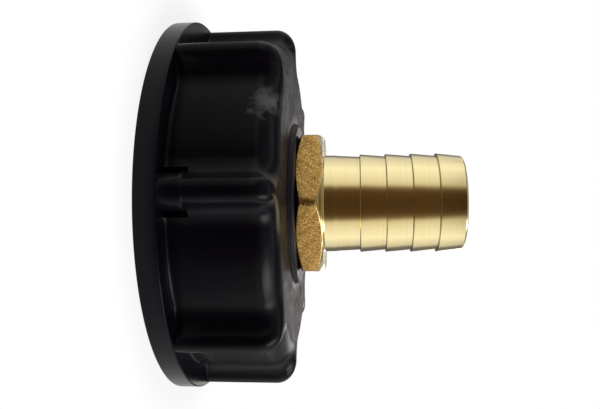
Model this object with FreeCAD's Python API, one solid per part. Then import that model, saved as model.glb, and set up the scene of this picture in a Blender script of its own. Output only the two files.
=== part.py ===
import FreeCAD, Part
import math
import os

# Screw cap with a coarse female thread for a tank valve, and a turned hose tail screwed into its top.
# The axis is +Z, the mouth of the cap lies on z = 0 and the hose end points up. Lengths are in millimetres.

Vector = FreeCAD.Vector
UP = Vector(0, 0, 1)
ORIGIN = Vector(0, 0, 0)

# Coarse thread of the cap
THREAD_MAJOR_D = 60.0     # nominal outside diameter of the valve's thread
THREAD_PITCH = 6.0
THREAD_DEPTH = 2.6
THREAD_TURNS = 1.5
THREAD_PLAY = 0.2         # radial clearance of the root over the valve's crest
THREAD_ROOT_W = 3.4       # axial width of the ridge at the wall
THREAD_CREST_W = 1.5      # axial width of the ridge at its crest
THREAD_START = 1.3        # from the mouth to the lowest edge of the ridge
LOAD_FLANK_LEAN = 0.25    # axial lean of the steep flank
CREST_SECTORS = 6         # the crest is trimmed a sector at a time, so no face winds right round
LEAD_CHAMFER = 0.9

# Body of the cap
WALL = 3.2
CAP_H = 22.4
PLATE_T = 2.85
SHOULDER_R = 4.0
FLANGE_R = 38.0
FLANGE_H = 3.85
FLANGE_EDGE_R = 0.2
INNER_FILLET = 0.8

# Grip ribs
RIB_COUNT = 8
RIB_H = 4.45
RIB_W = 4.65
RIB_ROOT_R = 5.0
RIB_TIP_W = 1.2           # what is left of the rib's width where it meets the top plate
SHOULDER_STEPS = 6

# Sealing lug at the foot of one rib, with a slot on each side
LUG_W = 6.2
LUG_H = 3.95
LUG_PROUD = 0.1
SLOT_W = 0.8
SLOT_DEPTH = 1.0
SLOT_RISE = 0.15          # how far the slots run past the lug

# Boss on top and hub inside, around the hose tail's thread
BOSS_R = 16.9
BOSS_H = 1.15
BOSS_EDGE_R = 0.7
HUB_R = 16.6
SPIGOT_PLAY = 0.06        # radial play of the plain spigot in the plain socket
HUB_COVER = 0.4           # the hub reaches this far past the spigot

# Flat seal against the ceiling of the cap
SEAL_T = 3.0
SEAL_W = 6.5
SEAL_PLAY = 1.7           # radial gap to the thread root, less than the thread depth

# Hose tail
HEX_AF = 27.7
HEX_CORNER_R = 2.0
HEX_H = 5.2
HEX_SEAT_D = 27.6         # round face that bears on the boss
HEX_SEAT_ANGLE = 26.0     # slope of the turned chamfer around it
HEX_TOP_D = 27.6
HEX_TOP_ANGLE = 30.0
HEX_TURN = 2.2            # how the tightened hexagon happens to stand, in degrees
SPIGOT_D = 26.4
SPIGOT_LEN = 8.85
SPIGOT_CHAMFER = 1.0
TAIL_BORE_D = 15.5
LAND_D = 20.35
LAND_LEN = 2.55
NECK_TOP_D = 20.1
BARB_VALLEY_D = 19.65
BARB_CREST_D = 20.65
BARB_PITCH = 5.23
BARB_COUNT = 4
NECK_LEN = 4.83           # from the land to the first barb
LAST_BARB_LEN = 5.42
TIP_D = 19.4
TIP_EDGE_R = 0.5

# Sizes that follow from these
ROOT_R = THREAD_MAJOR_D / 2 + THREAD_PLAY
CREST_R = ROOT_R - THREAD_DEPTH
PANEL_R = ROOT_R + WALL
RIB_R = PANEL_R + RIB_H
CEILING_Z = CAP_H - PLATE_T
SHOULDER_Z = CAP_H - SHOULDER_R
SEAT_Z = CAP_H + BOSS_H
SPIGOT_R = SPIGOT_D / 2
SOCKET_R = SPIGOT_R + SPIGOT_PLAY
SPIGOT_END_Z = SEAT_Z - SPIGOT_LEN
HUB_END_Z = SPIGOT_END_Z - HUB_COVER
HEX_TOP_Z = SEAT_Z + HEX_H
RIB_PITCH_DEG = 360.0 / RIB_COUNT
FIRST_RIB_DEG = -90.0     # the lugged rib points along -Y
OVERRUN = 1.0             # how far a cutting shape passes the surface it opens


def polar(radius, degrees, z=0.0):
    """The point at this radius and bearing."""
    turn = math.radians(degrees)
    return Vector(radius * math.cos(turn), radius * math.sin(turn), z)


def revolved(points):
    """The ring or disc whose half section has these (radius, height) corners."""
    corners = [Vector(r, 0, z) for r, z in points]
    face = Part.Face(Part.makePolygon(corners + corners[:1]))
    return face.revolve(ORIGIN, UP, 360)


def cylinder(radius, z0, z1):
    """A solid round bar between two heights."""
    return Part.makeCylinder(radius, z1 - z0, Vector(0, 0, z0))


def ribbed_outline(z, panel_r, rib_r, rib_half):
    """Closed wire at one height: round-nosed ribs that flow into the wall through hollow root fillets."""
    nose_at = rib_r - rib_half
    root_at = panel_r + RIB_ROOT_R
    reach = rib_half + RIB_ROOT_R
    spread = math.degrees(math.acos((nose_at ** 2 + root_at ** 2 - reach ** 2) / (2 * nose_at * root_at)))
    edges = []
    for i in range(RIB_COUNT):
        rib = FIRST_RIB_DEG + i * RIB_PITCH_DEG
        nose = polar(nose_at, rib, z)
        roots = [polar(root_at, rib + side * spread, z) for side in (-1, 1)]
        feet = [polar(panel_r, rib + side * spread, z) for side in (-1, 1)]
        meets = [nose + (root - nose) * (rib_half / reach) for root in roots]
        middles = []
        for root, foot, meet in zip(roots, feet, meets):
            aim = (foot - root) + (meet - root)
            middles.append(root + aim * (RIB_ROOT_R / aim.Length))
        edges.append(Part.Arc(feet[0], middles[0], meets[0]).toShape())
        edges.append(Part.Arc(meets[0], polar(rib_r, rib, z), meets[1]).toShape())
        edges.append(Part.Arc(meets[1], middles[1], feet[1]).toShape())
        next_foot = polar(panel_r, rib + RIB_PITCH_DEG - spread, z)
        halfway = polar(panel_r, rib + RIB_PITCH_DEG / 2, z)
        edges.append(Part.Arc(feet[1], halfway, next_foot).toShape())
    return Part.Wire(edges)


def shoulder_section(turn):
    """The outline part of the way round the rounded shoulder, where turn goes from 0 to 90 degrees."""
    drawn_in = SHOULDER_R * (1 - math.cos(math.radians(turn)))
    z = SHOULDER_Z + SHOULDER_R * math.sin(math.radians(turn))
    nose_half, tip_half = RIB_W / 2, RIB_TIP_W / 2
    above_axis = max(0.0, z - (CAP_H - nose_half)) / nose_half
    half = math.sqrt(tip_half ** 2 + (nose_half ** 2 - tip_half ** 2) * max(0.0, 1 - above_axis ** 2))
    return ribbed_outline(z, PANEL_R - drawn_in, RIB_R - drawn_in, half)


def cap_outside():
    """The ribbed wall, its rounded shoulder, the flange and the boss, all solid."""
    inside_flange = FLANGE_H / 2
    outline = ribbed_outline(inside_flange, PANEL_R, RIB_R, RIB_W / 2)
    straight = Part.Face(outline).extrude(UP * (SHOULDER_Z - inside_flange))
    turns = [90.0 * i / SHOULDER_STEPS for i in range(SHOULDER_STEPS + 1)]
    shoulder = Part.makeLoft([shoulder_section(turn) for turn in turns], True, False)
    flange = cylinder(FLANGE_R, 0, FLANGE_H)
    flange = flange.makeFillet(FLANGE_EDGE_R, [e for e in flange.Edges if len(e.Vertexes) == 1])
    boss = cylinder(BOSS_R, CEILING_Z, SEAT_Z)
    rim = [e for e in boss.Edges if abs(e.BoundBox.ZMin - SEAT_Z) < 1e-6]
    boss = boss.makeFillet(BOSS_EDGE_R, rim)
    return straight.fuse([shoulder, flange, boss])


def lug_at_rib():
    """The lug at the foot of the first rib: round-nosed like the rib, wider and a little proud of it."""
    half = LUG_W / 2
    nose_at = RIB_R + LUG_PROUD - half
    inside_flange = FLANGE_H / 2
    height = FLANGE_H + LUG_H - inside_flange
    nose = Part.makeCylinder(half, height, Vector(0, -nose_at, inside_flange))
    root = Part.makeBox(LUG_W, nose_at - PANEL_R + WALL / 2, height, Vector(-half, -nose_at, inside_flange))
    return nose.fuse(root)


def lug_slots():
    """The two narrow slots beside the lug."""
    height = LUG_H + SLOT_RISE
    across = RIB_H + SLOT_DEPTH
    front = -(PANEL_R - SLOT_DEPTH) - across
    sides = (-LUG_W / 2 - SLOT_W, LUG_W / 2)
    return [Part.makeBox(SLOT_W, across, height, Vector(x, front, FLANGE_H)) for x in sides]


def cap_hollow():
    """The room inside the cap down to the thread root, left standing around the hub."""
    fillet = INNER_FILLET
    room = cylinder(ROOT_R, -OVERRUN, CEILING_Z)
    room = room.makeFillet(fillet, [e for e in room.Edges if abs(e.BoundBox.ZMin - CEILING_Z) < 1e-6])
    hub = cylinder(HUB_R, HUB_END_Z, CEILING_Z + OVERRUN)
    lead_r = ROOT_R + LEAD_CHAMFER
    lead = revolved([
        (0, -OVERRUN),
        (lead_r, -OVERRUN),
        (lead_r, 0),
        (ROOT_R, LEAD_CHAMFER),
        (0, LEAD_CHAMFER),
    ])
    return room.cut(hub).fuse(lead)


def thread_ridge():
    """The helical ridge of the female thread, with its steep flank towards the ceiling."""
    buried = 0.5
    base_r = ROOT_R + buried
    past_r = CREST_R - buried
    deep = THREAD_DEPTH
    steep = LOAD_FLANK_LEAN / deep
    slope = (THREAD_ROOT_W - THREAD_CREST_W - LOAD_FLANK_LEAN) / deep
    low, high = -THREAD_ROOT_W / 2, THREAD_ROOT_W / 2
    # the section is drawn past the root and past the crest, and a round cut trims the crest
    section = Part.makePolygon([
        Vector(base_r, 0, low - slope * buried),
        Vector(past_r, 0, low + slope * (deep + buried)),
        Vector(past_r, 0, high - steep * (deep + buried)),
        Vector(base_r, 0, high + steep * buried),
        Vector(base_r, 0, low - slope * buried),
    ])
    helix = Part.makeHelix(THREAD_PITCH, THREAD_PITCH * THREAD_TURNS, ROOT_R)
    ridge = Part.Wire(helix.Edges).makePipeShell([section], True, True)
    ridge.translate(UP * (THREAD_START - low))
    trims = []
    for i in range(CREST_SECTORS):
        sector = Part.makeCylinder(CREST_R, CAP_H, Vector(0, 0, -OVERRUN), UP, 360.0 / CREST_SECTORS)
        trims.append(sector.rotated(ORIGIN, UP, 360.0 / CREST_SECTORS * i))
    return ridge.cut(trims)


def make_cap():
    """The moulded cap in one piece."""
    body = cap_outside().fuse(lug_at_rib())
    body = body.cut([cap_hollow(), cylinder(SOCKET_R, HUB_END_Z - OVERRUN, SEAT_Z + OVERRUN)] + lug_slots())
    return body.fuse(thread_ridge())


def make_seal():
    """The flat seal ring that lies against the ceiling of the cap."""
    outer = ROOT_R - SEAL_PLAY
    ring = cylinder(outer, CEILING_Z - SEAL_T, CEILING_Z)
    return ring.cut(cylinder(outer - SEAL_W, CEILING_Z - SEAL_T - OVERRUN, CEILING_Z + OVERRUN))


def hexagon():
    """The cast spanner hexagon with rounded corners, and a turned chamfer on both ends."""
    centre_at = (HEX_AF / 2 - HEX_CORNER_R) / math.cos(math.radians(30))
    edges = []
    for i in range(6):
        bearing = HEX_TURN + 30 + 60 * i
        centre = polar(centre_at, bearing, SEAT_Z)
        start, middle, end = [centre + polar(HEX_CORNER_R, bearing + swing) for swing in (-30, 0, 30)]
        following = polar(centre_at, bearing + 60, SEAT_Z) + polar(HEX_CORNER_R, bearing + 30)
        edges.append(Part.Arc(start, middle, end).toShape())
        edges.append(Part.makeLine(end, following))
    prism = Part.Face(Part.Wire(edges)).extrude(UP * HEX_H)
    outer = centre_at + HEX_CORNER_R + OVERRUN
    seat_rise = (outer - HEX_SEAT_D / 2) * math.tan(math.radians(HEX_SEAT_ANGLE))
    top_drop = (outer - HEX_TOP_D / 2) * math.tan(math.radians(HEX_TOP_ANGLE))
    turned = revolved([
        (0, SEAT_Z),
        (HEX_SEAT_D / 2, SEAT_Z),
        (outer, SEAT_Z + seat_rise),
        (outer, HEX_TOP_Z - top_drop),
        (HEX_TOP_D / 2, HEX_TOP_Z),
        (0, HEX_TOP_Z),
    ])
    return prism.common(turned)


def make_hose_tail():
    """The turned tail: spigot, hexagon, land, neck and barbs around one straight bore."""
    land_z = HEX_TOP_Z + LAND_LEN
    barb_z = land_z + NECK_LEN
    tip_z = barb_z + (BARB_COUNT - 1) * BARB_PITCH + LAST_BARB_LEN
    profile = [
        (0, SPIGOT_END_Z),
        (SPIGOT_R - SPIGOT_CHAMFER, SPIGOT_END_Z),
        (SPIGOT_R, SPIGOT_END_Z + SPIGOT_CHAMFER),
        (SPIGOT_R, SEAT_Z),
        (LAND_D / 2, SEAT_Z),
        (LAND_D / 2, land_z),
        (NECK_TOP_D / 2, land_z),
        (BARB_VALLEY_D / 2, barb_z),
    ]
    for i in range(BARB_COUNT):
        step_z = barb_z + i * BARB_PITCH
        profile.append((BARB_CREST_D / 2, step_z))
        if i < BARB_COUNT - 1:
            profile.append((BARB_VALLEY_D / 2, step_z + BARB_PITCH))
    profile += [(TIP_D / 2, tip_z), (0, tip_z)]
    tail = revolved(profile)
    tip_edge = [e for e in tail.Edges if len(e.Vertexes) == 1 and abs(e.BoundBox.ZMin - tip_z) < 1e-6]
    tail = tail.makeFillet(TIP_EDGE_R, tip_edge).fuse(hexagon())
    return tail.cut(cylinder(TAIL_BORE_D / 2, SPIGOT_END_Z - OVERRUN, tip_z + OVERRUN)).removeSplitter()


def main():
    os.makedirs("parts", exist_ok=True)
    pieces = {"cap": make_cap(), "seal_ring": make_seal(), "hose_tail": make_hose_tail()}
    for name, shape in pieces.items():
        print(name, len(shape.Solids), "solid", round(shape.Volume, 1), "mm3", shape.isValid())
        shape.exportStep(f"parts/{name}.step")


main()
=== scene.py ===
import math

import bpy
import numpy as np
from mathutils import Matrix


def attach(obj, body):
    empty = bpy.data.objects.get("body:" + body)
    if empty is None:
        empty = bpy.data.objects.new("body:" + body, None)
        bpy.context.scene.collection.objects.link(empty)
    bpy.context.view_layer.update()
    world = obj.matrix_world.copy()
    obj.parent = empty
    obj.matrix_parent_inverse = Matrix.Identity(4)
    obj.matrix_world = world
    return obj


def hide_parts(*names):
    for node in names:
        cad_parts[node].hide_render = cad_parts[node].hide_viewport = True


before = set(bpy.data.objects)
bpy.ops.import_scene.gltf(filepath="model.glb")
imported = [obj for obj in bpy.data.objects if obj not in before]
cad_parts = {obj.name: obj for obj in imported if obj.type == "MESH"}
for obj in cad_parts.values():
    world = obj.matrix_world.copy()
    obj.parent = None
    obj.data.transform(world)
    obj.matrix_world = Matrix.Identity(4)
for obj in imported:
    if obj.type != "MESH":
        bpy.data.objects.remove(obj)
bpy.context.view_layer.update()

bl_info = {
    "name": "Tank tap adapter",
    "version": (1, 0, 0),
    "blender": (4, 5, 0),
    "location": "3D View > Sidebar > Tap adapter",
    "description": "Screw cap for a tank valve with a brass hose tail and a flat seal",
    "category": "Object",
}

MM = 0.001
RIB_COUNT = 8
FIRST_RIB = math.radians(-90)
BARB_COUNT = 4

# Points along half of a rib's share of the outline: its crest, its hollow root and the wall to halfway
CREST_POINTS = 10
ROOT_POINTS = 11
WALL_POINTS = 8

# The inputs of a Mix node that take its factor and its two colours
FACTOR, UNDER, OVER = 0, 6, 7

# Far below any size or angle here, so that rounding doesn't part what is equal
HAIR = 1e-9

# The tent's walls from straight behind the object (-1) to the camera (1), linear colours times the level
TENT_LEVEL = 1.2
TENT = (
    (-1.0, (0.13, 0.13, 0.13)),
    (-0.9, (0.15, 0.15, 0.15)),
    (-0.8, (0.26, 0.26, 0.26)),
    (-0.74, (0.48, 0.48, 0.48)),
    (-0.66, (0.66, 0.66, 0.66)),
    (-0.43, (0.78, 0.78, 0.77)),
    (0.0, (1.04, 1.04, 1.02)),
    (0.4, (0.9, 0.89, 0.86)),
    (0.55, (0.82, 0.8, 0.74)),
    (0.69, (0.7, 0.66, 0.56)),
    (0.75, (0.4, 0.34, 0.25)),
    (0.8, (0.16, 0.12, 0.07)),
    (0.87, (0.09, 0.05, 0.022)),
    (1.0, (0.06, 0.032, 0.015)),
)


# Values and colours

def linear(hex_colour):
    """sRGB hex to linear: v / 12.92 up to 0.04045, else (v + 0.055) / 1.055 to the power 2.4."""
    parts = [int(hex_colour[i:i + 2], 16) / 255 for i in (1, 3, 5)]
    return tuple(v / 12.92 if v <= 0.04045 else ((v + 0.055) / 1.055) ** 2.4 for v in parts)


def length(name, description, mm):
    return bpy.props.FloatProperty(name=name, description=description, default=mm * MM, unit="LENGTH",
                                   precision=5)


def angle(name, description, degrees):
    return bpy.props.FloatProperty(name=name, description=description, default=math.radians(degrees),
                                   unit="ROTATION")


def colour(name, description, hex_colour):
    return bpy.props.FloatVectorProperty(name=name, description=description, default=linear(hex_colour),
                                         subtype="COLOR", size=3, min=0, max=1)


class TapCap(bpy.types.PropertyGroup):
    """Sizes and colours of the screw cap."""
    panel_radius: length("Wall radius", "Outside of the wall between the ribs", 33.4)
    rib_radius: length("Rib radius", "Distance of the rib crests from the axis", 37.85)
    rib_width: length("Rib width", "Width of the round-nosed ribs", 4.65)
    rib_root: length("Rib root radius", "Hollow fillet between a rib and the wall", 5.0)
    rib_tip: length("Rib tip width", "Width left where a rib meets the top plate", 1.2)
    height: length("Height", "From the mouth to the top plate", 22.5)
    shoulder: length("Shoulder height", "Height of the rounding between the wall and the top plate", 4.1)
    shoulder_depth: length("Shoulder depth", "How far inside the wall the plate's edge lies", 4.4)
    shoulder_turn: angle("Shoulder turn", "Turn of the wall's rounding where it meets the plate", 72)
    rib_corner: length("Rib corner", "How far inside its crest a rib meets the plate", 4.6)
    flange_radius: length("Flange radius", "Outside of the flange at the mouth", 38.0)
    flange_height: length("Flange height", "Thickness of the flange", 3.85)
    foot_fillet: length("Foot fillet", "Fillet between the wall and the flange", 0.6)
    lug_width: length("Lug width", "Width of the lug at the foot of the first rib", 6.2)
    lug_height: length("Lug height", "Height of the lug above the flange", 3.95)
    lug_proud: length("Lug step", "How far the lug stands proud of its rib", 0.1)
    slot_width: length("Slot width", "Width of the slots beside the lug", 0.8)
    slot_depth: length("Slot depth", "Depth of the slots below the wall", 1.0)
    slot_rise: length("Slot rise", "How far the slots run past the lug", 0.15)
    boss_radius: length("Boss radius", "Raised ring under the hexagon", 16.9)
    boss_edge: length("Boss edge", "Rounding of the raised ring's upper edge", 0.78)
    seat: length("Seat height", "Height of the face that the hexagon bears on", 23.55)
    socket_radius: length("Socket radius", "Hole for the spigot", 13.26)
    hub_radius: length("Hub radius", "Ring inside the cap around the spigot", 16.6)
    hub_end: length("Hub end", "Height of the lower end of the hub", 14.3)
    ceiling: length("Ceiling height", "Height of the inside of the top plate", 19.55)
    root_radius: length("Thread root radius", "Inside of the wall between the thread's turns", 30.2)
    lead_in: length("Lead-in", "Chamfer inside the mouth", 0.9)
    thread_depth: length("Thread depth", "Height of the ridge above the root", 2.6)
    thread_pitch: length("Thread pitch", "Rise of the ridge for each turn", 6.0)
    thread_start: length("Thread start", "Height of the middle of the ridge where it begins", 3.0)
    plastic: colour("Plastic", "Black moulded plastic", "#0c0a13")
    # The raised ring's paler bluish colour is a painted sheen: it stands in for the bluish highlight along
    # the ring's rounded edge
    ring: colour("Ring", "Bluish skin of the raised ring", "#26262d")
    scuff: colour("Scuff", "Plastic rubbed pale by handling", "#77767a")


class TapTail(bpy.types.PropertyGroup):
    """Sizes and colours of the brass hose tail."""
    hex_flats: length("Across flats", "Distance between two flats of the hexagon", 27.7)
    hex_corner: length("Corner radius", "Rounding of the hexagon's six corners", 2.0)
    hex_turn: angle("Hexagon turn", "How the tightened hexagon stands", 2.2)
    hex_bottom: length("Hexagon bottom", "Height of the seat of the hexagon", 23.55)
    hex_top: length("Hexagon top", "Height of the top of the hexagon", 28.75)
    seat_radius: length("Seat radius", "Round face that bears on the cap", 13.8)
    top_radius: length("Top radius", "Flat face inside the top chamfer", 13.8)
    seat_slope: angle("Seat slope", "Slope of the chamfer under the hexagon", 26)
    top_slope: angle("Top slope", "Slope of the chamfer over the hexagon", 30)
    spigot_radius: length("Spigot radius", "Crest of the fine thread", 13.2)
    spigot_end: length("Spigot end", "Height of the lower end", 14.7)
    spigot_chamfer: length("Spigot chamfer", "Chamfer at the lower end", 1.0)
    fine_pitch: length("Fine pitch", "Pitch of the spigot's pipe thread", 1.814)
    fine_depth: length("Fine depth", "Depth of the spigot's pipe thread", 1.1)
    bore_radius: length("Bore radius", "Straight way through the tail", 7.75)
    land_radius: length("Land radius", "Short plain step above the hexagon", 10.175)
    land_top: length("Land top", "Height of the middle of the slope from the land to the neck", 31.3)
    neck_radius: length("Neck radius", "Neck just above the land", 10.05)
    valley_radius: length("Valley radius", "Foot of each barb", 9.825)
    crest_radius: length("Crest radius", "Sharp edge of each barb", 10.325)
    first_barb: length("First barb", "Height of the first step", 36.13)
    barb_pitch: length("Barb pitch", "Distance between steps", 5.23)
    tip_radius: length("Tip radius", "Outside at the hose end", 9.7)
    tip: length("Tip", "Height of the hose end", 57.24)
    brass: colour("Turned brass", "Brass as turned", "#ecdba7")
    cast: colour("Cast brass", "Brass as cast on the hexagon's flats", "#ecc277")
    cast_low: colour("Cast pits", "Darker pits of the cast flats", "#9b743a")


class TapSeal(bpy.types.PropertyGroup):
    """Sizes and colour of the flat seal."""
    outer: length("Outer radius", "Outside of the seal ring", 28.5)
    inner: length("Inner radius", "Hole of the seal ring", 22.0)
    low: length("Lower face", "Height of the face that meets the valve", 16.55)
    high: length("Upper face", "Height of the face against the ceiling", 19.54)
    edge: length("Edge", "Rounding of the edges", 0.25)
    rubber: colour("Rubber", "Black rubber", "#17171a")


class TapStage(bpy.types.PropertyGroup):
    """Floor, light and camera."""
    floor: colour("Floor", "Pale floor", "#fafafa")
    floor_radius: length("Floor radius", "Size of the round board", 48)
    floor_gap: length("Floor gap", "How far the board lies below the mouth", 0.02)
    distance: length("Camera distance", "From the axis to the camera", 135.23)
    camera_height: length("Camera height", "Height of the camera above the mouth", 35.27)
    bearing: angle("Camera bearing", "Turn of the camera from -Y towards +X", 3.543)
    yaw: angle("Camera yaw", "Swing of the camera along the axis", -5.035)
    pitch: angle("Camera pitch", "Swing of the camera across the axis", -0.0745)
    roll: angle("Camera roll", "Turn of the picture", 0.498)
    sensor: bpy.props.FloatProperty(name="Sensor width", description="Width of the sensor in millimetres",
                                    default=36)
    focal: bpy.props.FloatProperty(name="Focal length", description="Focal length for this sensor",
                                   default=38.023, unit="CAMERA")


# Shapes

def rounded(corners, steps=4):
    """An open profile with its inner corners rounded by arcs. A corner is (radius, height, rounding).

    At each corner the arc's ends lie rounding / tan(half the corner's angle) along both sides, and the arc
    swings between the two directions from its centre to these ends.
    """
    spec = np.array(corners, float)
    p, radius = spec[:, :2], spec[1:-1, 2:3]
    back = p[:-2] - p[1:-1]
    ahead = p[2:] - p[1:-1]
    back /= np.linalg.norm(back, axis=1, keepdims=True)
    ahead /= np.linalg.norm(ahead, axis=1, keepdims=True)
    half = np.arccos(np.clip((back * ahead).sum(1, keepdims=True), -1, 1)) / 2
    middle = back + ahead
    centre = p[1:-1] + middle / np.linalg.norm(middle, axis=1, keepdims=True) * radius / np.sin(half)
    run = radius / np.tan(half)
    first = p[1:-1] + back * run - centre
    last = p[1:-1] + ahead * run - centre
    sweep = (math.pi - 2 * half)[:, None, :]
    t = np.linspace(0, 1, steps + 1)[None, :, None]
    swung = (first[:, None] * np.sin((1 - t) * sweep) + last[:, None] * np.sin(t * sweep)) / np.sin(sweep)
    arcs = (swung + centre[:, None]).reshape(-1, 2)
    return np.vstack([p[:1], arcs, p[-1:]])


def around(radius, bearings, height):
    """Points at these radii, bearings and heights: (radius cos bearing, radius sin bearing, height)."""
    return np.stack(np.broadcast_arrays(radius * np.cos(bearings), radius * np.sin(bearings), height), -1)


def revolved(profile, bearings):
    """A grid of points: each (radius, height) of the profile carried round the axis to each bearing."""
    return around(profile[:, 0:1], bearings, profile[:, 1:2])


def grid_faces(rows, columns, rows_wrap):
    """Quads between neighbouring rows and columns. Columns always wrap round."""
    i = np.arange(rows if rows_wrap else rows - 1)[:, None]
    j = np.arange(columns)[None, :]
    row, next_row = i * columns, (i + 1) % rows * columns
    after = (j + 1) % columns
    return np.stack([row + j, row + after, next_row + after, next_row + j], -1).reshape(-1, 4)


def volume(points, quads):
    """Signed volume: the sum of each triangle's corner product over six."""
    tris = np.vstack([quads[:, [0, 1, 2]], quads[:, [0, 2, 3]]])
    a, b, c = (points[tris[:, k]] for k in range(3))
    return np.einsum("ij,ij->i", a, np.cross(b, c)).sum() / 6


def build_mesh(name, grids, attributes=()):
    """One mesh object from closed grids.

    Each grid is (points, rows_wrap). A grid whose rows don't wrap is closed by one flat face at each end.
    Faces are turned outwards by the sign of the volume. A vertex's normal is the sum of the areas around it,
    so that wide faces stay flat beside their narrow roundings.
    """
    points, loops, sizes, first, normals = [], [], [], 0, []
    for grid, rows_wrap in grids:
        rows, columns = grid.shape[:2]
        flat = grid.reshape(-1, 3)
        quads = grid_faces(rows, columns, rows_wrap)
        ends = []
        if not rows_wrap:
            ends = [np.arange(columns)[::-1], np.arange(columns) + (rows - 1) * columns]
        if volume(flat, quads) < 0:
            quads = quads[:, ::-1]
            ends = [end[::-1] for end in ends]
        spread = np.cross(flat[quads[:, 2]] - flat[quads[:, 0]], flat[quads[:, 3]] - flat[quads[:, 1]])
        normal = np.zeros_like(flat)
        for k in range(4):
            np.add.at(normal, quads[:, k], spread)
        normals.append(normal / np.linalg.norm(normal, axis=1, keepdims=True))
        points.append(flat)
        loops += [quads.ravel() + first] + [end + first for end in ends]
        sizes += [np.full(len(quads), 4)] + [np.array([columns])] * len(ends)
        first += len(flat)
    points, loops, sizes, normals = (np.concatenate(part) for part in (points, loops, sizes, normals))
    starts = np.concatenate([[0], np.cumsum(sizes)[:-1]])
    mesh = bpy.data.meshes.new(name)
    mesh.vertices.add(len(points))
    mesh.vertices.foreach_set("co", points.astype(np.float32).ravel())
    mesh.loops.add(len(loops))
    mesh.loops.foreach_set("vertex_index", loops.astype(np.int32))
    mesh.polygons.add(len(sizes))
    mesh.polygons.foreach_set("loop_start", starts.astype(np.int32))
    mesh.polygons.foreach_set("loop_total", sizes.astype(np.int32))
    mesh.update(calc_edges=True)
    mesh.validate()
    mesh.polygons.foreach_set("use_smooth", np.ones(len(mesh.polygons), bool))
    for label, values in attributes:
        attribute = mesh.attributes.new(label, "FLOAT", "POINT")
        attribute.data.foreach_set("value", values.astype(np.float32).ravel())
    mesh.normals_split_custom_set_from_vertices(normals)
    piece = bpy.data.objects.new(name, mesh)
    bpy.context.scene.collection.objects.link(piece)
    return piece


def finish_piece(piece, material, node):
    """Gives the piece its material and its body, and hides the CAD node that it stands for."""
    piece.data.materials.append(material)
    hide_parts(node)
    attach(piece, "root")


# The cap

def outline_geometry(cap, panel, rib, half):
    """Where a rib's nose circle and its hollow root circles stand.

    Given are the distances of both centres from the axis, the bearing of the root's centre and the angle at
    which the circles touch: the law of cosines on the axis and the two centres.
    """
    nose_at = rib - half
    root_at = panel + cap.rib_root
    reach = half + cap.rib_root
    spread = np.arccos((nose_at ** 2 + root_at ** 2 - reach ** 2) / (2 * nose_at * root_at))
    meet = np.arctan2(root_at * np.sin(spread), root_at * np.cos(spread) - nose_at)
    return nose_at, root_at, spread, meet


def slot_stations(cap):
    """Places along the root fillet, 0 at the rib and 1 at the wall, where the two sides of a slot stand."""
    half = cap.rib_width / 2
    nose_at, root_at, spread, meet = outline_geometry(cap, cap.panel_radius, cap.rib_radius, half)
    sides = np.array([cap.lug_width / 2, cap.lug_width / 2 + cap.slot_width])
    swing = np.arcsin((root_at * np.sin(spread) - sides) / cap.rib_root)
    inner, outer = (meet - swing) / (meet - spread)
    side_run = 0.004
    thirds = (2 * inner + outer) / 3, (inner + 2 * outer) / 3
    return np.array([inner, inner + side_run, *thirds, outer - side_run, outer])


def half_outline(cap, panel, rib, half, root_stations):
    """Half of one rib's share of the outline, from the crest to halfway to the next rib, for each row.

    The crest is an arc about the nose, the fillet an arc about the root centre turned the other way, and the
    wall an arc about the axis. Points are (along the rib's bearing, across it).
    """
    panel, rib, half = (np.atleast_1d(v)[:, None] for v in (panel, rib, half))
    nose_at, root_at, spread, meet = outline_geometry(cap, panel, rib, half)
    t = np.linspace(0, 1, CREST_POINTS)[None]
    crest = nose_at + half * np.cos(meet * t), half * np.sin(meet * t)
    turn = math.pi + meet + (spread - meet) * root_stations[None]
    root = (root_at * np.cos(spread) + cap.rib_root * np.cos(turn),
            root_at * np.sin(spread) + cap.rib_root * np.sin(turn))
    t = np.linspace(0, 1, WALL_POINTS + 1)[None, 1:]
    bearing = spread + (math.pi / RIB_COUNT - spread) * t
    wall = panel * np.cos(bearing), panel * np.sin(bearing)
    return np.stack([np.hstack(parts) for parts in zip(crest, root, wall)], -1)


def around_ribs(halves):
    """The whole outline from its half shares: each is mirrored and turned to its rib's bearing."""
    parts = []
    for k, share in enumerate(halves):
        mirrored = share[:, ::-1] * np.array([1, -1])
        both = np.concatenate([mirrored[:, 1:-1], share], axis=1)
        turn = FIRST_RIB + k * 2 * math.pi / RIB_COUNT
        x = both[..., 0] * math.cos(turn) - both[..., 1] * math.sin(turn)
        y = both[..., 0] * math.sin(turn) + both[..., 1] * math.cos(turn)
        parts.append(np.stack([x, y], -1))
    return np.concatenate(parts, axis=1)


def with_lug(cap, share, lug_rows, slot_rows, stations, slots):
    """The first rib's share with its lug and slots.

    In lug rows the crest and the start of the fillet swing onto a wider nose circle. In slot rows the points
    between the slot's sides drop to its bottom.
    """
    share = share.copy()
    index = CREST_POINTS + np.searchsorted(stations, slots - HAIR)
    inner, bottom = index[0], slice(index[1], index[4] + 1)
    half = cap.lug_width / 2
    nose_at = cap.rib_radius + cap.lug_proud - half
    swing = np.linspace(0, math.pi / 2, inner + 1)
    share[lug_rows, :inner + 1] = np.stack([nose_at + half * np.cos(swing), half * np.sin(swing)], -1)
    share[slot_rows, bottom, 0] = cap.panel_radius - cap.slot_depth
    return share


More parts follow.
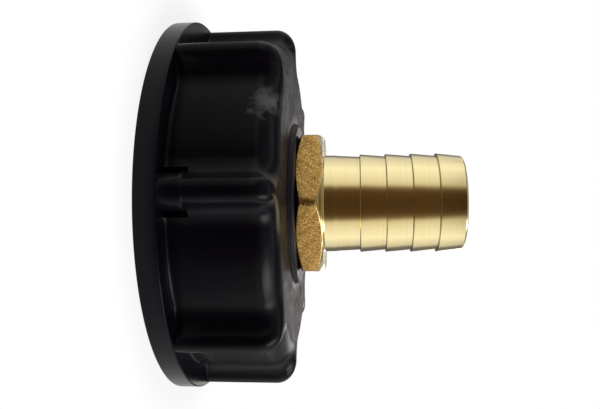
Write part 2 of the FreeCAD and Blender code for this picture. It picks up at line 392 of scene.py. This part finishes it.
def wall_rows(cap):
    """Ribbed wall and shoulder as rows of outline points from the flange up to the plate.

    On the shoulder the height follows the sine of the turn, and the ribs are drawn in by 1 less its cosine, a
    quarter of an ellipse. The wall follows only the part of an ellipse up to the shoulder's turn, so it meets
    the plate at an edge. Near the plate a rib's width narrows along an ellipse too. At the foot the wall
    swells along a hollow arc.
    """
    top = cap.height - cap.shoulder
    base = cap.flange_height
    lug_top = base + cap.lug_height
    slot_top = lug_top + cap.slot_rise
    thin = 0.02 * MM
    lug_steps, wall_steps, shoulder_steps = 5, 8, 24
    foot = base + cap.foot_fillet * np.array([0, 5, 15, 30, 46, 60]) / 60
    z = np.concatenate([foot, np.linspace(foot[-1], lug_top, lug_steps + 1)[1:],
                        [lug_top + thin, slot_top, slot_top + thin],
                        np.linspace(slot_top + 3 * thin, top, wall_steps + 1)])
    lug_rows = z <= lug_top + thin / 4
    slot_rows = z <= slot_top + thin / 4
    room = np.clip(cap.foot_fillet - (z - base), 0, cap.foot_fillet)
    swell = cap.foot_fillet - np.sqrt(cap.foot_fillet ** 2 - room ** 2)
    turns = np.linspace(0, math.pi / 2, shoulder_steps + 1)[1:]
    shoulder_z = top + cap.shoulder * np.sin(turns)
    rib_drawn = cap.rib_corner * (1 - np.cos(turns))
    swing = np.arcsin(math.sin(cap.shoulder_turn) * np.sin(turns))
    panel_drawn = cap.shoulder_depth * (1 - np.cos(swing)) / (1 - math.cos(cap.shoulder_turn))
    nose, tip = cap.rib_width / 2, cap.rib_tip / 2
    above = np.clip(shoulder_z - (cap.height - nose), 0, None) / nose
    narrow = np.sqrt(tip ** 2 + (nose ** 2 - tip ** 2) * np.clip(1 - above ** 2, 0, 1))
    panel = np.concatenate([cap.panel_radius + swell, cap.panel_radius - panel_drawn])
    rib = np.concatenate([np.full(len(z), cap.rib_radius), cap.rib_radius - rib_drawn])
    half = np.concatenate([np.full(len(z), nose), narrow])
    height = np.concatenate([z, shoulder_z])
    slots = slot_stations(cap)
    stations = np.sort(np.concatenate([np.linspace(0, 1, ROOT_POINTS + 1)[1:], slots]))
    share = half_outline(cap, panel, rib, half, stations)
    flags = [np.concatenate([rows, np.zeros(shoulder_steps, bool)]) for rows in (lug_rows, slot_rows)]
    lugged = with_lug(cap, share, *flags, stations, slots)
    plain = half_outline(cap, cap.panel_radius, cap.rib_radius, nose, stations)
    outline = around_ribs([lugged] + [share] * (RIB_COUNT - 1))
    even = around_ribs([plain] * RIB_COUNT)[0]
    bearings = np.unwrap(np.arctan2(even[:, 1], even[:, 0]))
    heights = np.broadcast_to(height[:, None, None], outline.shape[:2] + (1,))
    return np.concatenate([outline, heights], -1), bearings


def plate_rows(cap, last_row, bearings, foot_radius):
    """The flat top plate: the shoulder's last outline blends evenly into the circle at the boss's foot."""
    ring_count = 7
    circle = around(foot_radius, bearings, cap.height)
    t = np.linspace(0, 1, ring_count + 2)[1:-1, None, None]
    return last_row[None] * (1 - t) + circle[None] * t


def thread_ridge(cap):
    """The coarse thread: its section carried along a helix, sinking into the wall at both ends.

    From below, the section has a sloping flank, a flat crest and a steep flank. Radius and height follow the
    turn, and at the ends both shrink with the sine of a fade, which stays a little above 0 so that the ends,
    inside the wall, keep their faces.
    """
    buried = 0.4 * MM
    foot, crest_low, crest_high, head = (v * MM for v in (-1.7, -0.05, 1.45, 1.7))
    flare, lip = 0.25 * MM, 0.04 * MM
    root_edge, crest_edge = 0.1 * MM, 0.3 * MM
    section = rounded([
        (-buried, foot - flare, 0), (0, foot, root_edge), (cap.thread_depth, crest_low, crest_edge),
        (cap.thread_depth, crest_high, crest_edge), (0, head, root_edge), (-buried, head + lip, 0)], steps=3)
    turn_count, steps, run_out = 1.5, 540, math.radians(24)
    least_fade, end_height = 0.06, 0.3
    turn = np.linspace(0, turn_count * 2 * math.pi, steps + 1)
    fade = np.clip(np.minimum(turn, turn[-1] - turn) / run_out, least_fade, 1)
    rise = np.sin(fade * math.pi / 2)[:, None]
    turn = turn[:, None]
    across, up = section[None, :, 0], section[None, :, 1]
    r = cap.root_radius - (across + buried) * rise + buried
    tall = end_height + (1 - end_height) * rise
    return around(r, turn, cap.thread_start + cap.thread_pitch * turn / (2 * math.pi) + up * tall)


def cap_grids(cap):
    """The moulding as one closed surface: up the outside from the flange and back down through the inside.

    The marks beside it are 1 on the top plate, 0.5 on its raised ring and 0 elsewhere, rising over the last
    rows of the shoulder.
    """
    wall, bearings = wall_rows(cap)
    plate_end = cap.boss_radius + 0.9 * MM
    edge, sharp_edge, hub_edge = (v * MM for v in (0.2, 0.15, 0.4))
    boss_foot, hub_root, wall_root = (v * MM for v in (0.25, 0.5, 0.8))
    flange_end = cap.flange_radius - edge - 0.03 * MM
    way_in = rounded([
        (plate_end, cap.height, 0),
        (cap.boss_radius, cap.height, boss_foot),
        (cap.boss_radius, cap.seat, cap.boss_edge),
        (cap.socket_radius, cap.seat, edge),
        (cap.socket_radius, cap.hub_end, sharp_edge),
        (cap.hub_radius, cap.hub_end, hub_edge),
        (cap.hub_radius, cap.ceiling, hub_root),
        (cap.root_radius, cap.ceiling, wall_root),
        (cap.root_radius, cap.lead_in, edge),
        (cap.root_radius + cap.lead_in, 0, sharp_edge),
        (cap.flange_radius, 0, edge),
        (cap.flange_radius, cap.flange_height, edge),
        (flange_end, cap.flange_height, 0),
    ])
    plate = plate_rows(cap, wall[-1], bearings, plate_end)
    ridge = thread_ridge(cap)
    body = np.concatenate([wall, plate, revolved(way_in, bearings)])
    marks = np.zeros(body.shape[:2])
    rising_rows, ring_rows = 6, 12
    plate_first, ring_first = len(wall), len(wall) + len(plate)
    marks[plate_first - rising_rows:plate_first] = np.linspace(0, 1, rising_rows)[:, None]
    marks[plate_first:ring_first] = 1
    marks[ring_first:ring_first + ring_rows] = 0.5
    return [(body, True), (ridge, False)], np.concatenate([marks.ravel(), np.zeros(ridge.size // 3)])


# The hose tail

def tail_bearings(tail):
    """Bearings close together at the hexagon's rounded corners, and the hexagon's radius at each of them.

    On a flat the radius is half the width across flats over the cosine. Round a corner it is where the
    bearing meets the corner's circle.
    """
    apothem, corner = tail.hex_flats / 2, tail.hex_corner
    sixth = math.pi / 3
    flat_points, bend_points = 41, 12
    reach = (apothem - corner) / math.cos(sixth / 2)
    side = (apothem - corner) * math.tan(sixth / 2)
    tangent = math.atan(side / apothem)
    flat = np.linspace(-tangent, tangent, flat_points)
    bend = np.linspace(tangent, sixth - tangent, bend_points + 2)[1:-1]
    one = np.concatenate([flat, bend])
    off = np.abs(sixth / 2 - one)
    on_bend = reach * np.cos(off) + np.sqrt(np.clip(corner ** 2 - (reach * np.sin(off)) ** 2, 0, None))
    radius = np.where(np.abs(one) <= tangent + HAIR, apothem / np.cos(one), on_bend)
    bearings = np.concatenate([one + k * sixth for k in range(6)]) + tail.hex_turn
    return bearings, np.tile(radius, 6)


def cast_waves(bearings, height):
    """Unevenness of the cast flats: the sum of a few sine waves, in metres.

    Each wave has its count round the hexagon, its radians for each metre of height and its phase.
    """
    waves = ((7, 900, 0.3), (13, -1400, 1.9), (23, 2100, 4.1), (31, 500, 2.6), (47, -2600, 5.2))
    depth = 0.012 * MM
    return depth * sum(np.sin(k * bearings + w * height + phase) for k, w, phase in waves)


def hexagon_rows(tail, bearings, hex_radius):
    """Seat chamfer, flats and top chamfer: the turned cones cut the flats where their heights meet.

    Each cone's height is the face's height plus or less the slope times the way past the face's radius. The
    marks are 1 on the cast flats and 0 on the turned cones.
    """
    low_slope, high_slope = math.tan(tail.seat_slope), math.tan(tail.top_slope)
    edge, inset, flat_rows = 0.12 * MM, 0.14 * MM, 15
    nick = 0.3 * edge

    def low(r):
        return tail.hex_bottom + np.clip(r - tail.seat_radius, 0, None) * low_slope

    def high(r):
        return tail.hex_top - np.clip(r - tail.top_radius, 0, None) * high_slope

    start = hex_radius + cast_waves(bearings, tail.hex_bottom)
    finish = hex_radius + cast_waves(bearings, tail.hex_top)
    rows = [(np.minimum(start - inset, tail.seat_radius), tail.hex_bottom, 0),
            (start - edge, low(start - edge), 0),
            (start - nick, low(start) + nick, 0.5)]
    for t in np.linspace(0, 1, flat_rows):
        z = low(start) * (1 - t) + high(finish) * t + edge * (1 - 2 * t)
        rows.append((hex_radius + cast_waves(bearings, z), z, 1))
    rows += [(finish - nick, high(finish) - nick, 0.5),
             (finish - edge, high(finish - edge), 0),
             (np.minimum(finish - inset, tail.top_radius), tail.hex_top, 0)]
    marks = np.array([cast for _, _, cast in rows], float)
    return np.stack([around(r, bearings, z) for r, z, _ in rows]), marks


def spigot_rows(tail, bearings):
    """The fine pipe thread: the radius dips by a raised cosine of the height less the turn."""
    clear_low, clear_high, run_in, row_count = 1.1 * MM, 0.9 * MM, 0.8 * MM, 70
    z = np.linspace(tail.spigot_end + clear_low, tail.hex_bottom - clear_high, row_count)[:, None]
    phase = 2 * math.pi * z / tail.fine_pitch - bearings[None]
    lead = np.clip(np.minimum(z - z[0], z[-1] - z) / run_in, 0, 1)
    return around(tail.spigot_radius - tail.fine_depth / 2 * (1 - np.cos(phase)) * lead, bearings, z)


def tail_grid(tail):
    """The whole turning as one closed surface, and how far each point is cast and not turned.

    Its rows run up the bore's lower half, over the spigot, the hexagon, the neck and the barbs, and back down
    the bore. Each barb is a step out to its crest and a cone in to the next valley.
    """
    bearings, hex_radius = tail_bearings(tail)
    valley_root, end_edge, barb_edge, soft = (v * MM for v in (0.05, 0.1, 0.2, 0.3))
    tip_edge, bore_edge = 0.5 * MM, 0.35 * MM
    thread_clear, thread_edge = 0.06 * MM, 0.03 * MM
    chamfer_top = tail.spigot_end + tail.spigot_chamfer
    below = rounded([
        (tail.bore_radius, tail.hex_bottom, 0),
        (tail.bore_radius, tail.spigot_end, soft),
        (tail.spigot_radius - tail.spigot_chamfer, tail.spigot_end, end_edge),
        (tail.spigot_radius, chamfer_top, thread_edge),
        (tail.spigot_radius, chamfer_top + thread_clear, 0),
    ])
    collar = tail.hex_bottom - 0.8 * MM
    seat = np.array([(tail.spigot_radius, collar), (tail.spigot_radius, tail.hex_bottom),
                     (tail.seat_radius - soft, tail.hex_bottom)])
    slope, slope_rounding = 0.6 * MM, 2 * MM
    corners = [
        (tail.top_radius - soft, tail.hex_top, 0),
        (tail.land_radius, tail.hex_top, soft),
        (tail.land_radius, tail.land_top - slope, slope_rounding),
        (tail.neck_radius, tail.land_top + slope, slope_rounding),
    ]
    for k in range(BARB_COUNT):
        step = tail.first_barb + k * tail.barb_pitch
        corners += [(tail.valley_radius, step, valley_root), (tail.crest_radius, step, barb_edge)]
    corners += [
        (tail.tip_radius, tail.tip, tip_edge),
        (tail.bore_radius, tail.tip, bore_edge),
        (tail.bore_radius, tail.hex_top, 0),
    ]
    above = rounded(corners)
    hexagon, cast = hexagon_rows(tail, bearings, hex_radius)
    parts = [revolved(below, bearings), spigot_rows(tail, bearings), revolved(seat, bearings), hexagon,
             revolved(above, bearings)]
    marks = [np.zeros(len(part)) for part in parts]
    marks[3] = cast
    body = np.concatenate(parts)
    return body, np.broadcast_to(np.concatenate(marks)[:, None], body.shape[:2])


def seal_grid(seal):
    """A flat ring: its rectangular section with rounded edges, carried round the axis."""
    bearing_count = 240
    bearings = np.linspace(0, 2 * math.pi, bearing_count + 1)[:-1]
    middle = (seal.low + seal.high) / 2
    ring = rounded([(seal.outer, middle, 0), (seal.outer, seal.high, seal.edge),
                    (seal.inner, seal.high, seal.edge), (seal.inner, seal.low, seal.edge),
                    (seal.outer, seal.low, seal.edge), (seal.outer, middle, 0)])[:-1]
    return revolved(ring, bearings)


# Materials

def add(tree, kind, links=None, **settings):
    """Adds one shader node and returns it.

    Settings go on the node. Links give each input a value, another node's output, or another node, which
    stands for its first output in use.
    """
    node = tree.nodes.new(kind)
    for key, value in settings.items():
        setattr(node, key, value)
    for key, value in (links or {}).items():
        if isinstance(value, bpy.types.Node):
            value = next(output for output in value.outputs if output.enabled)
        if isinstance(value, bpy.types.NodeSocket):
            tree.links.new(value, node.inputs[key])
        else:
            node.inputs[key].default_value = value
    return node


def zone(tree, *ranges):
    """How much a place, a direction or a pattern counts.

    Each range is (value, low, high) and climbs evenly from 0 at low to 1 at high, or between two other levels
    where these follow. Outside it holds its level. Several ranges are multiplied.
    """
    total = None
    for value, low, high, *levels in ranges:
        first, last = levels or (0, 1)
        share = add(tree, "ShaderNodeMapRange", {"Value": value, "From Min": low, "From Max": high,
                                                 "To Min": first, "To Max": last})
        if total is not None:
            share = add(tree, "ShaderNodeMath", {0: total, 1: share}, operation="MULTIPLY")
        total = share
    return total


def new_material(name):
    """An empty material, its node tree and the piece's own coordinates in it."""
    material = bpy.data.materials.new(name)
    material.use_nodes = True
    tree = material.node_tree
    tree.nodes.clear()
    return material, tree, add(tree, "ShaderNodeTexCoord").outputs["Object"]


def per_mm(size):
    """A texture scale that gives features of this size in millimetres."""
    return 1 / (size * MM)


def moulded_polypropylene(cap):
    """Glossy black polypropylene as it leaves the mould.

    The slight waviness of the skin, 1.6 mm from wave to wave, bends the long reflections along the ribs. Flow
    marks some 9 mm wide change its gloss a little. The top plate is duller and worn in blots, and a patch
    beside the first rib is rubbed grey by handling, in the same 2.2 mm blots.
    """
    material, tree, place = new_material("moulded_polypropylene")
    plate = add(tree, "ShaderNodeAttribute", attribute_name="plate").outputs["Fac"]
    skin, flow, wear = (
        add(tree, "ShaderNodeTexNoise", {"Vector": place, "Scale": per_mm(size), "Detail": detail,
                                         "Roughness": roughness})
        for size, detail, roughness in ((1.6, 3, 0.5), (9, 2, 0.5), (2.2, 6, 0.6)))
    patch_at, patch_turn = tuple(v * MM for v in (-16.4, -28.6, 20.4)), (0, math.radians(35), 0)
    patch = add(tree, "ShaderNodeMapping", {"Vector": place, "Location": patch_at, "Rotation": patch_turn,
                                            "Scale": (1.7, 1.0, 0.75)}, vector_type="TEXTURE")
    away = add(tree, "ShaderNodeVectorMath", {0: patch}, operation="LENGTH")
    near = zone(tree, (away, 1 * MM, 6 * MM, 0.21, -0.3))
    blots = add(tree, "ShaderNodeMath", {0: wear, 1: near}, operation="ADD")
    rubbed = zone(tree, (blots, 0.48, 0.75))
    worn = zone(tree, (plate, 0, 1), (wear, 0.35, 0.65, 0.2, 0.36))
    rubbed_dull = zone(tree, (rubbed, 0, 1, 0, 0.3))
    dull = add(tree, "ShaderNodeMath", {0: worn, 1: rubbed_dull}, operation="MAXIMUM")
    skin_dull = zone(tree, (flow, 0.3, 0.7, 0.22, 0.3))
    bump = add(tree, "ShaderNodeBump", {"Height": skin, "Strength": 0.12, "Distance": 0.05 * MM})
    height = add(tree, "ShaderNodeSeparateXYZ", {"Vector": place}).outputs["Z"]
    # Painted sheen: the raised ring above the plate takes the paler bluish ring colour, which stands in for
    # the highlight on its rounded edge
    ring_sheen_mask = zone(tree, (height, cap.height + 0.02 * MM, cap.height + 0.1 * MM))
    plastic_with_ring_sheen = add(tree, "ShaderNodeMix", {FACTOR: ring_sheen_mask, UNDER: (*cap.plastic, 1), OVER: (*cap.ring, 1)},
                data_type="RGBA")
    scuffed = add(tree, "ShaderNodeMix", {FACTOR: zone(tree, (rubbed, 0, 1, 0, 0.65)), UNDER: plastic_with_ring_sheen,
                                          OVER: (*cap.scuff, 1)}, data_type="RGBA")
    shader = add(tree, "ShaderNodeBsdfPrincipled", {
        "Base Color": scuffed, "IOR": 1.49, "Specular IOR Level": 0.12, "Normal": bump,
        "Roughness": add(tree, "ShaderNodeMath", {0: skin_dull, 1: dull}, operation="ADD")})
    add(tree, "ShaderNodeOutputMaterial", {"Surface": shader})
    return material


def worked_brass(tail):
    """Yellow brass, turned all over apart from the hexagon's flats, which keep their cast grain.

    The turned skin is bright, with fine rings. Tool marks are under 0.1 mm apart, too fine to show, so they
    are drawn as rings of 0.16 and 0.5 mm. The cast flats are duller and browner, mottled by the grain of
    their mould. It is about 0.2 mm and is drawn 0.32 mm wide for the same reason.
    """
    material, tree, place = new_material("turned_and_cast_brass")
    cast = add(tree, "ShaderNodeAttribute", attribute_name="cast").outputs["Fac"]
    grain = add(tree, "ShaderNodeTexNoise", {"Vector": place, "Scale": per_mm(0.32), "Detail": 2,
                                             "Roughness": 0.6})
    height = add(tree, "ShaderNodeSeparateXYZ", {"Vector": place}).outputs["Z"]
    fine, wide = (add(tree, "ShaderNodeTexNoise", {"W": height, "Scale": per_mm(size), "Detail": 2},
                      noise_dimensions="1D") for size in (0.16, 0.5))
    rings = add(tree, "ShaderNodeMath", {0: fine, 1: 0.4, 2: wide}, operation="MULTIPLY_ADD")
    grain_bump = add(tree, "ShaderNodeBump", {"Height": grain, "Strength": cast, "Distance": 0.06 * MM})
    bump = add(tree, "ShaderNodeBump", {"Height": rings, "Strength": 0.12, "Distance": 0.02 * MM,
                                        "Normal": grain_bump})
    darkest = zone(tree, (height, tail.first_barb - 0.5 * MM, tail.first_barb, 0.94, 0.95))
    shade = zone(tree, (rings, 0.45, 0.95, darkest, 1))
    ringed = add(tree, "ShaderNodeVectorMath", {0: tail.brass, "Scale": shade}, operation="SCALE")
    mottled = add(tree, "ShaderNodeMix", {FACTOR: zone(tree, (grain, 0.35, 0.65)), UNDER: (*tail.cast_low, 1),
                                          OVER: (*tail.cast, 1)}, data_type="RGBA")
    skin = add(tree, "ShaderNodeMix", {FACTOR: cast, UNDER: ringed, OVER: mottled}, data_type="RGBA")
    shader = add(tree, "ShaderNodeBsdfPrincipled", {
        "Base Color": skin, "Metallic": 1, "Roughness": zone(tree, (cast, 0, 1, 0.13, 0.42)),
        "Normal": bump})
    add(tree, "ShaderNodeOutputMaterial", {"Surface": shader})
    return material


def pressed_rubber(seal):
    """Matt black nitrile rubber, stamped from sheet: a dull face with a fine grain of 0.4 mm."""
    material, tree, place = new_material("pressed_rubber")
    grain = add(tree, "ShaderNodeTexNoise", {"Vector": place, "Scale": per_mm(0.4), "Detail": 3})
    bump = add(tree, "ShaderNodeBump", {"Height": grain, "Strength": 0.3, "Distance": 0.05 * MM})
    shader = add(tree, "ShaderNodeBsdfPrincipled", {
        "Base Color": (*seal.rubber, 1), "IOR": 1.52, "Roughness": zone(tree, (grain, 0, 1, 0.6, 0.8)),
        "Normal": bump})
    add(tree, "ShaderNodeOutputMaterial", {"Surface": shader})
    return material


def pale_floor(stage):
    """A matt painted board that takes the object's shadow.

    To the camera and in reflections it is mostly plain white, and wholly so at its rim, where it fades into
    the backdrop.
    """
    material, tree, place = new_material("matt_white_paint")
    ray = add(tree, "ShaderNodeLightPath").outputs
    mirrored = add(tree, "ShaderNodeMath", {0: ray["Is Glossy Ray"], 1: ray["Is Transmission Ray"]},
                   operation="ADD")
    shown = add(tree, "ShaderNodeMath", {0: ray["Is Camera Ray"], 1: mirrored}, operation="ADD",
                use_clamp=True)
    matt = add(tree, "ShaderNodeBsdfDiffuse", {"Color": (*stage.floor, 1)})
    glow = add(tree, "ShaderNodeEmission", {"Color": (1, 1, 1, 1)})
    out = add(tree, "ShaderNodeVectorMath", {0: place}, operation="LENGTH")
    fade = (out, stage.floor_radius - 8 * MM, stage.floor_radius - 1 * MM, 0.85, 1)
    mixed = add(tree, "ShaderNodeMixShader", {0: zone(tree, (shown, 0, 1), fade), 1: matt, 2: glow})
    add(tree, "ShaderNodeOutputMaterial", {"Surface": mixed})
    return material


# Stage

def studio_world(stage):
    """A light tent drawn by direction, and plain white to the camera.

    The walls follow a ramp from straight behind the object (-1) to the camera (1): a grey wall behind, white
    sides, and a dim brown room round the camera, seen through the tent's opening. Behind the object the ramp
    leans, darker towards +X and lighter towards -X. Reflections show a small white backdrop straight behind.
    High at the rear is a dim ceiling and, below it, one bright panel in the middle. A table dims the light
    from below, least at +X, and a roof the light from high at the front. A bright strip hangs high at +X.
    """
    world = bpy.data.worlds.new("studio")
    world.use_nodes = True
    tree = world.node_tree
    tree.nodes.clear()
    ray = add(tree, "ShaderNodeLightPath").outputs
    place = add(tree, "ShaderNodeTexCoord").outputs["Generated"]
    toward = (math.sin(stage.bearing), -math.cos(stage.bearing), 0)
    along = add(tree, "ShaderNodeVectorMath", {0: place, 1: toward}, operation="DOT_PRODUCT")
    axes = add(tree, "ShaderNodeSeparateXYZ", {"Vector": place}).outputs
    side, up = axes["X"], axes["Z"]
    rear = (along, -0.3, -0.45)

    lean = zone(tree, (along, 0, -1, 0, -0.25), (side, -0.7, 0.7, -0.3, 0.9))
    leaning = add(tree, "ShaderNodeMath", {0: along, 1: lean}, operation="ADD")
    ramp = add(tree, "ShaderNodeValToRGB", {"Fac": zone(tree, (leaning, -1, 1))})
    tones = ramp.color_ramp.elements
    for at, tone in TENT[1:-1]:
        tones.new((at + 1) / 2)
    for element, (at, tone) in zip(tones, TENT):
        element.position, element.color = (at + 1) / 2, (*tone, 1)

    ceiling, ceiling_light = zone(tree, (up, 0.24, 0.38), rear), zone(tree, (up, 0.45, 0.6, 0.4, 0.07))
    walls = add(tree, "ShaderNodeMix", {FACTOR: ceiling, UNDER: ramp, OVER: ceiling_light}, data_type="RGBA")
    panel_middle, panel_light = 0.01, (3.1, 2.9, 2.8, 1)
    offset = add(tree, "ShaderNodeMath", {0: side, 1: panel_middle}, operation="SUBTRACT")
    offset = add(tree, "ShaderNodeMath", {0: offset}, operation="ABSOLUTE")
    panel = zone(tree, (up, 0.1, 0.17), (up, 0.34, 0.26), (offset, 0.34, 0.14), rear)
    walls = add(tree, "ShaderNodeMix", {FACTOR: panel, UNDER: walls, OVER: panel_light}, data_type="RGBA")

    table = zone(tree, (up, -0.1, -0.16), (side, 0.86, 0.99, 0.6, 0.1))
    roof = zone(tree, (up, 0.32, 0.46), (along, -0.3, -0.15))
    dimmed = zone(tree, (table, 0, 1, 1, 0), (roof, 0, 1, 1, 0.3))
    strip_plane = (-0.553, -0.7656, 0.330)
    across = add(tree, "ShaderNodeVectorMath", {0: place, 1: strip_plane}, operation="DOT_PRODUCT")
    across = add(tree, "ShaderNodeMath", {0: across}, operation="ABSOLUTE")
    strip = zone(tree, (across, 0.24, 0.05), (up, 0.45, 0.62), (up, 0.94, 0.84), (side, 0.3, 0.5, 0, 6))
    level = add(tree, "ShaderNodeMath", {0: dimmed, 1: strip}, operation="ADD")
    lit = add(tree, "ShaderNodeVectorMath", {0: walls, "Scale": level}, operation="SCALE")

    mirrored = add(tree, "ShaderNodeMath", {0: ray["Is Glossy Ray"], 1: ray["Is Transmission Ray"]},
                   operation="ADD", use_clamp=True)
    backdrop = zone(tree, (along, -0.994, -0.998), (mirrored, 0, 1))
    white = add(tree, "ShaderNodeMath", {0: ray["Is Camera Ray"], 1: backdrop}, operation="ADD",
                use_clamp=True)
    plain = 1 / TENT_LEVEL
    light = add(tree, "ShaderNodeMix", {FACTOR: white, UNDER: lit, OVER: (plain, plain, plain, 1)},
                data_type="RGBA")
    back = add(tree, "ShaderNodeBackground", {"Color": light, "Strength": TENT_LEVEL})
    add(tree, "ShaderNodeOutputWorld", {"Surface": back})
    bpy.context.scene.world = world


def place_camera(stage):
    """The camera looks across the axis, lying on its side: the picture's right is up and its top is -X.

    Its axes are turned by the yaw, then the pitch, then the roll, and the whole by the bearing.
    """
    c, s = math.cos, math.sin
    yaw, pitch, roll = stage.yaw, stage.pitch, stage.roll
    axes = np.array([[0, 0, 1], [-1, 0, 0], [0, 1, 0]], float)
    swing = np.array([[c(yaw), 0, -s(yaw)], [0, 1, 0], [s(yaw), 0, c(yaw)]])
    tilt = np.array([[1, 0, 0], [0, c(pitch), -s(pitch)], [0, s(pitch), c(pitch)]])
    twist = np.array([[c(roll), -s(roll), 0], [s(roll), c(roll), 0], [0, 0, 1]])
    right, up, forward = twist @ tilt @ swing @ axes
    turn = Matrix.Rotation(stage.bearing, 4, "Z")
    local = Matrix.Identity(4)
    for column, vector in enumerate((right, up, -forward, (0, -stage.distance, stage.camera_height))):
        local.col[column][:3] = vector
    data = bpy.data.cameras.new("camera")
    data.lens = stage.focal
    data.sensor_width = stage.sensor
    data.sensor_fit = "HORIZONTAL"
    data.clip_start = 5 * MM
    camera = bpy.data.objects.new("camera", data)
    camera.matrix_world = turn @ local
    bpy.context.scene.collection.objects.link(camera)
    bpy.context.scene.camera = camera


def floor_board(stage):
    """One round face just below the mouth: the cosine and sine of even turns times its radius."""
    corner_count = 180
    turns = np.linspace(0, 2 * math.pi, corner_count + 1)[:-1]
    rim = around(stage.floor_radius, turns, -stage.floor_gap)
    mesh = bpy.data.meshes.new("floor")
    mesh.from_pydata(rim.tolist(), [], [list(range(len(rim)))])
    mesh.materials.append(pale_floor(stage))
    board = bpy.data.objects.new("floor", mesh)
    bpy.context.scene.collection.objects.link(board)


class TAP_OT_cap(bpy.types.Operator):
    """Builds the screw cap"""
    bl_idname = "tap.cap"
    bl_label = "Screw cap"

    def execute(self, context):
        cap = context.scene.tap_cap
        grids, plate = cap_grids(cap)
        piece = build_mesh("cap_moulding", grids, [("plate", plate)])
        finish_piece(piece, moulded_polypropylene(cap), "cap")
        return {"FINISHED"}


class TAP_OT_tail(bpy.types.Operator):
    """Builds the brass hose tail"""
    bl_idname = "tap.tail"
    bl_label = "Hose tail"

    def execute(self, context):
        tail = context.scene.tap_tail
        body, casting = tail_grid(tail)
        piece = build_mesh("brass_tail", [(body, True)], [("cast", casting)])
        finish_piece(piece, worked_brass(tail), "hose_tail")
        return {"FINISHED"}


class TAP_OT_seal(bpy.types.Operator):
    """Builds the flat seal"""
    bl_idname = "tap.seal"
    bl_label = "Seal ring"

    def execute(self, context):
        seal = context.scene.tap_seal
        piece = build_mesh("flat_seal", [(seal_grid(seal), True)])
        finish_piece(piece, pressed_rubber(seal), "seal_ring")
        return {"FINISHED"}


class TAP_OT_stage(bpy.types.Operator):
    """Builds the floor, the light and the camera"""
    bl_idname = "tap.stage"
    bl_label = "Stage"

    def execute(self, context):
        stage = context.scene.tap_stage
        floor_board(stage)
        studio_world(stage)
        place_camera(stage)
        context.scene.view_settings.view_transform = "Standard"
        return {"FINISHED"}


class TAP_PT_panel(bpy.types.Panel):
    """Lists the pieces of the adapter"""
    bl_label = "Tap adapter"
    bl_idname = "TAP_PT_panel"
    bl_space_type = "VIEW_3D"
    bl_region_type = "UI"
    bl_category = "Tap adapter"

    def draw(self, context):
        for step in STEPS:
            self.layout.operator(step.bl_idname)


GROUPS = {"tap_cap": TapCap, "tap_tail": TapTail, "tap_seal": TapSeal, "tap_stage": TapStage}
STEPS = (TAP_OT_cap, TAP_OT_tail, TAP_OT_seal, TAP_OT_stage)
CLASSES = (*GROUPS.values(), *STEPS, TAP_PT_panel)


def register():
    for kind in CLASSES:
        bpy.utils.register_class(kind)
    for name, kind in GROUPS.items():
        setattr(bpy.types.Scene, name, bpy.props.PointerProperty(type=kind))


def unregister():
    for name in GROUPS:
        delattr(bpy.types.Scene, name)
    for kind in reversed(CLASSES):
        bpy.utils.unregister_class(kind)


def main():
    register()
    for call in (bpy.ops.tap.cap, bpy.ops.tap.tail, bpy.ops.tap.seal, bpy.ops.tap.stage):
        call()


if __name__ == "__main__":
    main()
